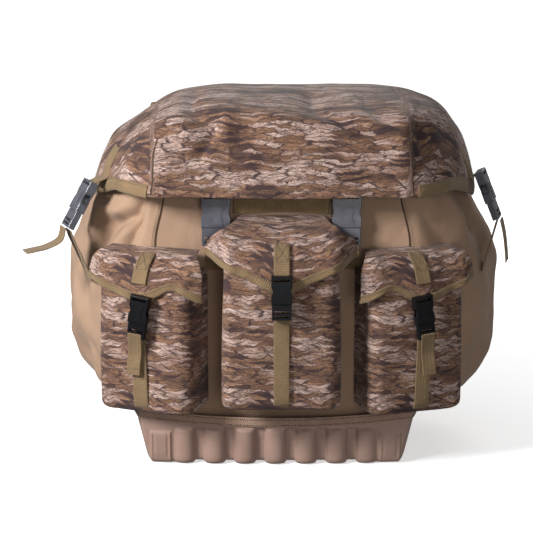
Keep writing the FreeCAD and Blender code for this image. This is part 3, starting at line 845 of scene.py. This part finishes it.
def pocket_point(spec, u, z, inset=0.0):
    """u runs 0..1 from the left back edge round the front to the right back edge."""
    half, depth, r = spec["half"] - inset, spec["depth"] - inset, 17.0
    side = depth + 14
    arc = r * math.pi / 2
    total = 2 * (side - r) + 2 * arc + 2 * (half - r)
    q = abs(u - 0.5) * total
    if q < half - r:
        x, y = q, -depth
    elif q < half - r + arc:
        t = (q - half + r) / r
        x, y = half - r + r * math.sin(t), -depth + r - r * math.cos(t)
    else:
        x, y = half, -depth + r + (q - half + r - arc)
    if u < 0.5:
        x = -x
    h = (z - spec["low"]) / (spec["top"] - spec["low"])
    swell = math.sin(math.pi * min(1.0, 0.15 + 0.75 * h))
    y -= 4.5 * swell * max(0.0, 1 - (x / spec["half"]) ** 2)
    x += (3.0 * swell - 4.0 * h) * x / spec["half"] * ease(-y / depth)
    # the centre pocket's back corners are pulled in beside the lid buckles
    x -= math.copysign(spec["pinch"], x) * ease((z - 236) / 24.0) * ease((y + 44) / 18.0)
    w = 2.6 * ripple((x + spec["at"][0], y, z * 0.7), 34.0, spec["turn"] + 0.3)
    w += 1.2 * ripple((x, y, z), 15.0, 9.1)
    y -= w * (1 if abs(x) < half - 4 else 0.4)
    return local(spec, x, y, z)


def make_pocket(spec):
    count = 84
    us = [k / count for k in range(count + 1)]
    low, top = spec["low"], spec["top"]
    rows = []
    for z, inset in ((low + 2.5, 26), (low + 0.5, 16), (low, 9), (low + 1.2, 4), (low + 4, 1.2)):
        rows.append([pocket_point(spec, u, z, inset) for u in us])
    tall = int((top - low - 9) / 5.0)
    rows += [[pocket_point(spec, u, mix(low + 9, top, k / tall)) for u in us]
             for k in range(tall + 1)]
    name = spec["name"] + "_pocket"
    piece(name, rows, CAMO, "pack", [name], thick=2.4)


# ---- flaps ----------------------------------------------------------------------------------
def flap_profile(spec):
    """The flap's fall from its sewn edge to its hem, at the middle."""
    return resample(curve_through([(0, y, z) for y, z in spec["profile"]], 80), 161)


def flap_tables():
    for spec in POCKETS:
        line = flap_profile(spec)
        spec["line"] = line
        spec["reach"] = sum((b - a).length for a, b in zip(line, line[1:]))
        spec["corner"] = reach_at(spec, spec["corner_z"])


def reach_at(spec, z):
    """How far along the profile the flap has fallen to height z."""
    line = spec["line"]
    for k, p in enumerate(line):
        if p.z < z:
            return spec["reach"] * k / (len(line) - 1)
    return spec["reach"]


def flap_point(spec, u, t, grow=0.0):
    """u from -1 to 1 across, t from 0 at the sewn edge to 1 at the hem."""
    widest = max(abs(p[0]) for p in spec["hem"])
    hem_z = soft_line(spec["hem"], u * widest, 10)
    reach = reach_at(spec, hem_z) * t
    k = reach / spec["reach"] * (len(spec["line"]) - 1)
    i = min(len(spec["line"]) - 2, max(0, int(k)))
    p, q = spec["line"][i], spec["line"][i + 1]
    at = p.lerp(q, k - i)
    ahead = (q - p).normalized()
    out = Vector((0, ahead.z, -ahead.y))
    half = mix(spec["top_half"], widest, ease(min(1.0, reach / spec["corner"])))
    x = u * half
    past = max(0.0, abs(x) - spec["half"] + 12) / 30.0
    y = at.y + spec["ends"] * min(1.0, past) ** 1.7 * min(1.0, t * 1.4)
    rise = grow + 2.0 * ripple((x + spec["at"][0], reach, 0), 26.0, 4.4) * ease(t * 3)
    rise += 1.4 * ripple((x, reach, spec["turn"]), 12.0, 2.2) * ease(t * 2)
    rise += 2.2 * math.cos(u * 5.5) * ease(t * 1.5 - 0.2)
    if out.y > 0:
        out = -out
    return local(spec, x, y + out.y * rise, at.z + out.z * rise)


def flap_normal(spec, u, t):
    a = flap_point(spec, u + 0.01, t) - flap_point(spec, u - 0.01, t)
    b = flap_point(spec, u, min(1, t + 0.02)) - flap_point(spec, u, t - 0.02)
    n = a.cross(b).normalized()
    facing = turned(spec, (0, -1, 0.4))
    return n if n.dot(facing) > 0 else -n


def make_flap(spec):
    name, wide, tall = spec["name"], 60, 34
    us = [-1 + 2 * k / wide for k in range(wide + 1)]
    rows = [[flap_point(spec, u, k / tall) for u in us] for k in range(tall + 1)]
    rows.reverse()
    cloth = piece(name + "_flap", rows, CAMO, "", [name + "_flap"], thick=2.4)
    hinge_a, hinge_b = flap_point(spec, 0, 0.02), flap_point(spec, 0, 0.16)
    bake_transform(cloth)
    make_flap_binding(spec)
    make_flap_patch(spec)


def make_flap_binding(spec):
    name = spec["name"]
    us = [-1 + 2 * k / 90 for k in range(91)]
    reach = reach_at(spec, 0.5 * (spec["hem"][0][1] + min(z for x, z in spec["hem"])))
    tape = 11.0 / reach
    rows = []
    for back, grow in ((tape, 0.9), (tape * 0.7, 1.3), (tape * 0.3, 1.4), (0.004, 1.1),
                       (-0.012, -1.0), (0.004, -3.2), (tape * 0.5, -3.4)):
        rows.append([flap_point(spec, u, 1 - back, grow) for u in us])
    rows.reverse()
    piece(name + "_flap_binding", rows, WEBBING, name + "_flap",
          [name + "_flap_binding"], thick=0.8,
          uv=turned_uv(rows))
    line = [flap_point(spec, u, 1 - tape * 0.82, 1.7) for u in us]
    out = [flap_normal(spec, u, 0.9) for u in us]
    stitches(name + "_flap_binding_stitch", line, out, 3.0, name + "_flap", size=FINE_THREAD)


def make_flap_patch(spec):
    """Webbing sewn to the flap with a crossed box of stitches; it carries the socket."""
    name, flap = spec["name"], spec["name"] + "_flap"
    reach = reach_at(spec, min(z for x, z in spec["hem"]))
    shift = math.tan(math.radians(spec["tilt"])) * 30 / max(abs(p[0]) for p in spec["hem"])
    fine = [1 - (24 + 44 * k / 30.0) / reach for k in range(31)]
    path = [flap_point(spec, shift * k / 30.0, t, 1.6) for k, t in enumerate(fine)]
    normals = [flap_normal(spec, shift, t) for t in fine]
    side = turned(spec, (1, 0, 0))
    ribbon(name + "_flap_patch", list(reversed(path)), [side] * 31, 20, WEBBING, flap,
           [name + "_flap_patch"], lift=0.6)
    top, low = path[-3] + normals[-3] * 1.2, path[12] + normals[12] * 1.2
    corners = [low - side * 7.5, top - side * 7.5, top + side * 7.5, low + side * 7.5]
    loops = ((corners[0], corners[1]), (corners[1], corners[2]), (corners[2], corners[3]),
             (corners[3], corners[0]), (corners[0], corners[2]), (corners[1], corners[3]))
    for k, (a, b) in enumerate(loops):
        run, out = stitched_run(path, normals, a, b, side)
        stitches("%s_patch_stitch_%d" % (name, k), run, out, 2.6, flap, size=FINE_THREAD)


def stitched_run(path, normals, a, b, side):
    """A straight run between two corners, laid down onto the patch's own curve."""
    run, out = [], []
    for k in range(17):
        p = a.lerp(b, k / 16.0)
        i = min(range(len(path)), key=lambda n: abs(path[n].z - p.z))
        off = (p - path[i]).dot(side)
        run.append(path[i] + side * off + normals[i] * 1.5)
        out.append(normals[i])
    return run, out


# ---- webbing straps -------------------------------------------------------------------------
def local_path(spec, points, count):
    return [local(spec, p.x, p.y, p.z) for p in curve_through(points, count)]


def make_pocket_straps():
    first = True
    for spec in POCKETS:
        d, low = spec["depth"], spec["low"]
        front = -spec["profile"][-1][0] + 1.5 + 1.3 + 5
        end = spec["joint"] - 16
        lean = math.tan(math.radians(spec["tilt"])) * -20
        side = turned(spec, (1, 0, 0))
        line = [(lean * 0.5, -d + 1.0, low + 6), (lean * 0.6, -d - 5.0, low + 14),
                (lean * 0.7, -d - 7.2, low + 50), (lean, -d - 7.4, end - 34),
                (lean, -front + 6.2, end - 6), (lean, -front + 4.4, end + 5)]
        path = local_path(spec, line, 60)
        plug = spec["name"] + "_strap_plug"
        strap = ribbon(spec["name"] + "_strap", path, [side] * 60, 20, WEBBING, "",
                       ["pocket_straps"] if first else [])
        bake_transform(strap)
        first = False
        if spec["tilt"]:
            sway = -0.35 * spec["tilt"]
            tail = [(lean, -front - 4.6, end + 3), (lean + sway, -d - 12, end - 22),
                    (lean + 1.6 * sway, -d - 12, end - 38), (lean + 2 * sway, -d - 13, end - 54)]
            path = local_path(spec, tail, 40)
            ribbon(spec["name"] + "_strap_tail", path, [side] * 40, 19, WEBBING, plug)
            fold = [path[-1] + Vector((0, 0, 9)), path[-1] + Vector((0, 0, 1))]
            out = turned(spec, (0, -1, 0))
            for k, p in enumerate(fold):
                run = [p - side * 8 + out * 1.4, p + side * 8 + out * 1.4]
                stitches("%s_tail_stitch_%d" % (spec["name"], k), run, [out] * 2, 2.6, plug,
                         size=FINE_THREAD)


def make_lid_straps():
    for side, name in ((-1, "left"), (1, "right")):
        x = side * 84
        tab = curve_through([(x, -133, 357.6), (x, -137, 371), (x, -148, 386), (x, -156, 400),
                             (x, -158, 418)], 30)
        ribbon(name + "_main_tab", tab, [Vector((1, 0, 0))] * 30, 30, WEBBING, "lid",
               ["lid_tabs"] if side < 0 else [])
        low = curve_through([(x, -125.0, 262), (x, -127.4, 284), (x, -129.6, 294),
                             (x, -131.0, 303)], 24)
        strap = ribbon(name + "_main_strap", low, [Vector((1, 0, 0))] * 24, 30, WEBBING, "",
                       ["main_straps"] if side < 0 else [])
        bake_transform(strap)
        make_side_straps(side, name)


def make_side_straps(side, name):
    spec = SIDES[name]
    z, across = spec["z"], turned(spec, (1, 0, 0))
    y, up = spec["bar"]
    low = local(spec, 0, y, z + up)
    sewn = [lid_point(spec["s"], level, 2.2) for level in (0.10, 0.16, 0.22, 0.28)]
    path = curve_through([low, low.lerp(sewn[0], 0.5)] + sewn, 40)
    ribbon(name + "_side_tab", path, [across] * 40, 30, WEBBING, "lid", thick=1.8)
    plug = name + "_side_plug"
    line = local_path(spec, [(0, y, z + up) for y, up in spec["strap"]], 44)
    strap = ribbon(name + "_side_strap", line, [across] * 44, 30, WEBBING, "",
                   ["side_straps"] if side < 0 else [])
    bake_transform(strap)
    line = local_path(spec, [(0, y, z + up) for y, up in spec["tail"]], 44)
    ribbon(name + "_side_tail", line, [across] * 44, 28, WEBBING, plug)


# ---- back: pads, shoulder straps, haul loop -------------------------------------------------
def swell(obj, pressure, cap, pinned=None):
    """Puffs a form up with a short cloth simulation, holding every move under a cap in mm."""
    form = bmesh.new()
    form.from_mesh(obj.data)
    bmesh.ops.remove_doubles(form, verts=form.verts, dist=0.0002)
    bmesh.ops.holes_fill(form, edges=form.edges, sides=0)
    bmesh.ops.recalc_face_normals(form, faces=form.faces)
    form.to_mesh(obj.data)
    form.free()
    even = obj.modifiers.new("even", "REMESH")
    even.mode, even.voxel_size = "VOXEL", 0.005
    obj.data = evaluated(obj)
    obj.modifiers.remove(even)
    start = [v.co.copy() for v in obj.data.vertices]
    cloth = obj.modifiers.new("puff", "CLOTH")
    cloth.settings.use_pressure = True
    cloth.settings.uniform_pressure_force = pressure
    cloth.settings.effector_weights.gravity = 0
    if pinned:
        group = obj.vertex_groups.new(name="sewn")
        group.add([v.index for v in obj.data.vertices if pinned(v.co / MM)], 1.0, "REPLACE")
        cloth.settings.vertex_group_mass = "sewn"
    for frame_number in range(1, 21):
        bpy.context.scene.frame_set(frame_number)
    obj.data = evaluated(obj)
    obj.modifiers.remove(cloth)
    bpy.context.scene.frame_set(1)
    for v, at in zip(obj.data.vertices, start):
        move = v.co - at
        if move.length > cap * MM:
            v.co = at + move * (cap * MM / move.length)
    obj.data.polygons.foreach_set("use_smooth", [True] * len(obj.data.polygons))


def evaluated(obj):
    """A copy of the object's mesh with its modifiers applied."""
    depsgraph = bpy.context.evaluated_depsgraph_get()
    return bpy.data.meshes.new_from_object(obj.evaluated_get(depsgraph))


def pad(name, rows, body, nodes, cap, shape=None, pinned=None):
    """A closed pad: puffed, pressed into its sewn channels, then smoothed."""
    obj = piece(name, rows, PAD, "", nodes, closed=True, sub=0)
    swell(obj, 4.0, cap, pinned)
    if shape:
        for v in obj.data.vertices:
            v.co = shape(v.co / MM) * MM
    level = obj.modifiers.new("smooth", "SUBSURF")
    level.levels = level.render_levels = 1
    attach(obj, body)


def puff(name, half, tall, centre, depth, body, nodes, lines=0):
    """A pad sewn flat to the back, crowned between its edges and its level channels."""
    rows = []
    for spread, rise in ((0.3, 0.0), (0.96, 0.0), (1.0, 0.22), (0.97, 0.50), (0.86, 0.74),
                         (0.55, 0.84), (0.2, 0.86)):
        row = []
        for k in range(56):
            a = 2 * math.pi * k / 56
            c, s = math.cos(a), math.sin(a)
            x = math.copysign(abs(c) ** 0.4, c) * half * spread
            z = math.copysign(abs(s) ** 0.4, s) * tall * spread
            row.append(Vector((centre[0] + x, centre[1] + depth * rise, centre[2] + z)))
        rows.append(row)

    def pressed(p):
        height = ease((p.y - centre[1]) / depth)
        groove = 0.0
        for n in range(lines):
            at = centre[2] + tall * (-0.6 + 1.2 * (n + 0.5) / lines)
            groove = max(groove, math.exp(-((p.z - at) / 4.5) ** 2))
        y = max(centre[1], p.y - 6.0 * groove * height)
        return Vector((p.x, y, p.z))

    pad(name, rows, body, nodes, 5.0, pressed, lambda p: p.y < centre[1] + 1.5)


def make_back():
    puff("left_back_pad", 41, 103, (-62, 131, 254), 14, "pack", ["back_pads"], lines=4)
    puff("right_back_pad", 41, 103, (62, 131, 254), 14, "pack", [], lines=4)
    puff("lumbar_pad", 118, 33, (0, 131, 103), 14, "pack", [])
    for side, name in ((-1, "left"), (1, "right")):
        make_shoulder_strap(side, name)
    make_haul_loop()


def strap_spot(side, out, down, w=0.0):
    """A point of a shoulder strap, which leans outwards on its way down."""
    x = -side * down * math.sin(STRAP_LEAN) + w * math.cos(STRAP_LEAN)
    z = down * math.cos(STRAP_LEAN) + side * w * math.sin(STRAP_LEAN)
    return Vector((side * 95 + x, 141 + out, 395 + z))


def make_shoulder_strap(side, name):
    rows, count = [], 48
    path = curve_through([(0, y, z) for y, z in STRAP_BOW[1:]], count)
    for i, p in enumerate(path):
        ahead = (path[min(i + 1, count - 1)] - path[max(i - 1, 0)]).normalized()
        out = Vector((0, -ahead.z, ahead.y))
        narrow = 1 - 0.30 * ease(abs(i / (count - 1) - 0.42) * 2.2 - 0.2)
        row = []
        for k in range(24):
            a = 2 * math.pi * k / 24
            c, s = math.cos(a), math.sin(a)
            w = math.copysign(abs(c) ** 0.5, c) * 31 * narrow
            q = p + out * (math.copysign(abs(s) ** 0.8, s) * 4.6)
            row.append(strap_spot(side, q.y, q.z, w))
        rows.append(row)
    strap = name + "_shoulder_strap"
    pad(name + "_shoulder_pad", rows, strap, [name + "_strap_pad"], 3.0)
    count = 90
    line = curve_through([(0, y, z) for y, z in STRAP_BOW + STRAP_TAIL], count)
    web = []
    for i, p in enumerate(line):
        ahead = (line[min(i + 1, count - 1)] - line[max(i - 1, 0)]).normalized()
        q = p + Vector((0, -ahead.z, ahead.y)) * 7.6
        web.append(strap_spot(side, q.y, q.z))
    across = strap_spot(side, 0, 0, 1) - strap_spot(side, 0, 0)
    ribbon(name + "_shoulder_webbing", web, [across] * count, 25, WEBBING, strap,
           [name + "_strap_webbing"])


def make_haul_loop():
    """A drooping loop, thicker where it is wrapped for the hand."""
    rows = []
    arc = [Vector((-40 * math.cos(math.pi * k / 40), 139, 405 - 33 * math.sin(math.pi * k / 40)))
           for k in range(41)]
    for i, p in enumerate(arc):
        ahead = (arc[min(i + 1, 40)] - arc[max(i - 1, 0)]).normalized()
        outward = ahead.cross(Vector((0, 1, 0)))
        fat = 6.4 if 8 < i < 32 else 4.6
        turns = [2 * math.pi * k / 16 for k in range(16)]
        rows.append([p + Vector((0, 1, 0)) * (math.cos(a) * fat) + outward * (math.sin(a) * fat)
                     for a in turns])
    loop = piece("haul_loop", rows, WEBBING, "haul_handle", ["haul_handle"],
                 closed=True)


# ---- CAD parts that stay --------------------------------------------------------------------
def dress_cad_parts():
    for name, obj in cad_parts.items():
        if name.endswith(("lid_socket", "lid_plug", "side_socket", "side_plug")):
            material = GREY
        elif name.endswith(("flap_socket", "strap_plug", "strap_lock", "framesheet")):
            material = BLACK
        else:
            continue
        obj.data.materials.clear()
        obj.data.materials.append(material)


# ---- studio ---------------------------------------------------------------------------------
def area_light(name, place, aim, size, power):
    lamp = bpy.data.lights.new(name, "AREA")
    lamp.shape, lamp.size, lamp.energy = "DISK", size, power
    obj = bpy.data.objects.new(name, lamp)
    obj.location = place
    obj.rotation_euler = (Vector(aim) - Vector(place)).to_track_quat("-Z", "Y").to_euler()
    bpy.context.scene.collection.objects.link(obj)


def make_lights():
    scene = bpy.context.scene
    scene.view_settings.view_transform = "Standard"
    world = bpy.data.worlds.new("studio")
    world.use_nodes = True
    world.node_tree.nodes["Background"].inputs["Color"].default_value = (1, 1, 1, 1)
    world.node_tree.nodes["Background"].inputs["Strength"].default_value = 0.20
    scene.world = world
    area_light("key", (-1.3, -1.05, 1.05), (-0.05, 0, 0.24), 0.5, 47)
    area_light("front_fill", (0.5, -2.6, 0.5), (0, 0, 0.2), 1.2, 13)
    area_light("back_rim", (0.9, 2.0, 1.6), (0, 0, 0.3), 1.2, 16)


def make_surroundings():
    """A lit backdrop all round and a pale floor that brightens away from the object."""
    backdrop = bpy.data.meshes.new("backdrop")
    form = bmesh.new()
    bmesh.ops.create_uvsphere(form, u_segments=48, v_segments=24, radius=28)
    form.to_mesh(backdrop)
    form.free()
    sweep = bpy.data.objects.new("backdrop", backdrop)
    mat, tree, bsdf = new_material("lit_backdrop", 1.0, Emission_Strength=1.0)
    bsdf.inputs["Base Color"].default_value = (0, 0, 0, 1)
    bsdf.inputs["Emission Color"].default_value = (1, 1, 1, 1)
    sweep.data.materials.append(mat)
    sweep.visible_shadow = False
    mesh = bpy.data.meshes.new("floor")
    mesh.from_pydata([(-20, -20, 0), (20, -20, 0), (20, 20, 0), (-20, 20, 0)], [], [(0, 1, 2, 3)])
    floor = bpy.data.objects.new("floor", mesh)
    mat, tree, bsdf = new_material("pale_floor", 0.9, Specular_IOR_Level=0.1)
    where = solid_coords(tree)
    tone = mottled(tree, where, 3.0, 2.0, (0.86, 0.86, 0.86), (0.89, 0.89, 0.89))
    tree.links.new(tone, bsdf.inputs["Base Color"])
    away = add(tree, "VectorMath", {0: where}, operation="LENGTH").outputs["Value"]
    glow = grey(tree, maths(tree, "DIVIDE", away, 4.0), 0.06, 0.45, 0.55, 0.95)
    bsdf.inputs["Emission Color"].default_value = (1, 1, 1, 1)
    tree.links.new(glow, bsdf.inputs["Emission Strength"])
    floor.data.materials.append(mat)
    # neither lights nor is mirrored in the object, so they don't wash out its shading
    for shown in (sweep, floor):
        bpy.context.scene.collection.objects.link(shown)
        shown.visible_diffuse = shown.visible_glossy = False


def make_camera():
    camera = bpy.data.cameras.new("camera")
    camera.sensor_width = 36
    camera.lens = 36 * 1752 / 533.0
    camera.clip_end = 50
    eye = bpy.data.objects.new("camera", camera)
    elevation, distance = math.radians(12), 2.4
    aim = Vector((-0.019, 0, 0.240))
    eye.location = aim + Vector((0, -math.cos(elevation), math.sin(elevation))) * distance
    eye.rotation_euler = (math.radians(90) - elevation, 0, 0)
    bpy.context.scene.collection.objects.link(eye)
    bpy.context.scene.camera = eye


make_tub()
make_rim_band()
make_bag()
flap_tables()
for pocket in POCKETS:
    make_pocket(pocket)
    make_flap(pocket)
make_pocket_straps()
make_lid()
make_lid_straps()
make_back()
dress_cad_parts()
make_lights()
make_surroundings()
make_camera()
